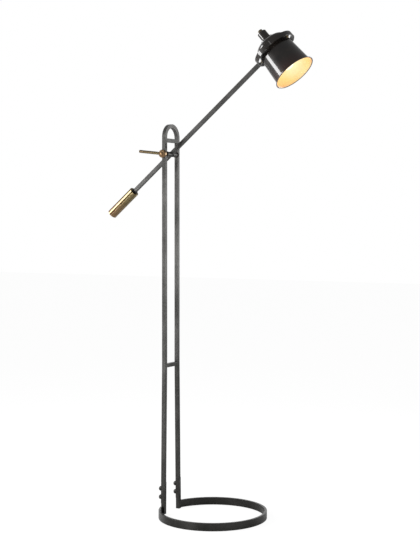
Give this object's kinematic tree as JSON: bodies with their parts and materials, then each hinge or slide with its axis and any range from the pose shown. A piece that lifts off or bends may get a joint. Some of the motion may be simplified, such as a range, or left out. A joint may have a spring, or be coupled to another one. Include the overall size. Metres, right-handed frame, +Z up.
{
  "type": "floor lamp",
  "caption": "Counterbalanced floor lamp: hoop base, looped square-bar post, tilting arm with a round counterweight, clamp lever, and a bell shade turning in a ring.",
  "frame": {"origin": "centre of the hoop, on the floor", "axes": "+Z up, +X from the post towards the head, +Y to the side away from the clamp lever"},
  "size_m": [0.7745, 0.36, 1.606],
  "materials": {
    "black_iron": "dark satin paint over hot-rolled bar, brushed streaks, thin wear at the corners",
    "aged_brass": "turned brass with a brown age patina, brighter where it is handled",
    "turned_brass": "bare turned brass",
    "gloss_bronze": "very dark bronze gloss lacquer on spun and rolled sheet",
    "plated_steel": "zinc plated steel",
    "blackened_steel": "oil-blackened steel",
    "washer_fibre": "pressed fibre",
    "grommet_rubber": "moulded rubber",
    "socket_phenolic": "moulded phenolic",
    "bulb_cap": "bright spun screw cap",
    "bulb_glass": "frosted glass, lit warm"
  },
  "bodies": {
    "stand": {"base_hoop": "black_iron", "upright_lever_side": "black_iron", "upright_far_side": "black_iron", "post_loop": "black_iron", "upper_crossbar": "black_iron", "lower_crossbar": "black_iron", "splice_bolts": "black_iron"},
    "clamp": {"pivot_bolt": "plated_steel", "lever_hub": "aged_brass", "lever_rod": "aged_brass", "hub_screw": "aged_brass"},
    "arm": {"arm_beam": "black_iron", "pivot_sleeves": "black_iron", "friction_washers": "washer_fibre", "counterweight": "aged_brass", "weight_collar": "blackened_steel", "weight_grub_screw": "blackened_steel", "head_ring": "gloss_bronze", "shade_studs": "plated_steel", "stud_nuts": "plated_steel"},
    "shade": {"shade_shell": "gloss_bronze", "shade_bushes": "turned_brass", "cord_grommet": "grommet_rubber", "neck_collar": "gloss_bronze", "socket_nipple": "plated_steel", "nipple_nuts": "plated_steel", "lamp_socket": "socket_phenolic", "socket_contact": "turned_brass", "bulb_base": "bulb_cap", "bulb_glass": "bulb_glass", "switch_cap": "gloss_bronze", "switch_body": "socket_phenolic"},
    "switch": {"switch_shaft": "turned_brass", "switch_knob": "aged_brass"}
  },
  "joints": [
    {"name": "arm_pivot", "type": "hinge", "parent": "stand", "child": "arm", "pos_m": [-0.16455, 0, 1.21], "axis": [0, -1, 0], "range_deg": [-65, 28]},
    {"name": "clamp_turn", "type": "hinge", "parent": "stand", "child": "clamp", "pos_m": [-0.16455, 0, 1.21], "axis": [0, -1, 0], "range_deg": [-30, 60]},
    {"name": "shade_turn", "type": "hinge", "parent": "arm", "child": "shade", "pos_m": [0.23141, 0, 1.53931], "axis": [0.7576, 0, 0.6528], "range_deg": [-21, 27]},
    {"name": "switch_turn", "type": "hinge", "parent": "shade", "child": "switch", "pos_m": [0.1805, -0.00136, 1.59839], "axis": [-0.6527, -0.0175, 0.7574], "continuous": true}
  ]
}
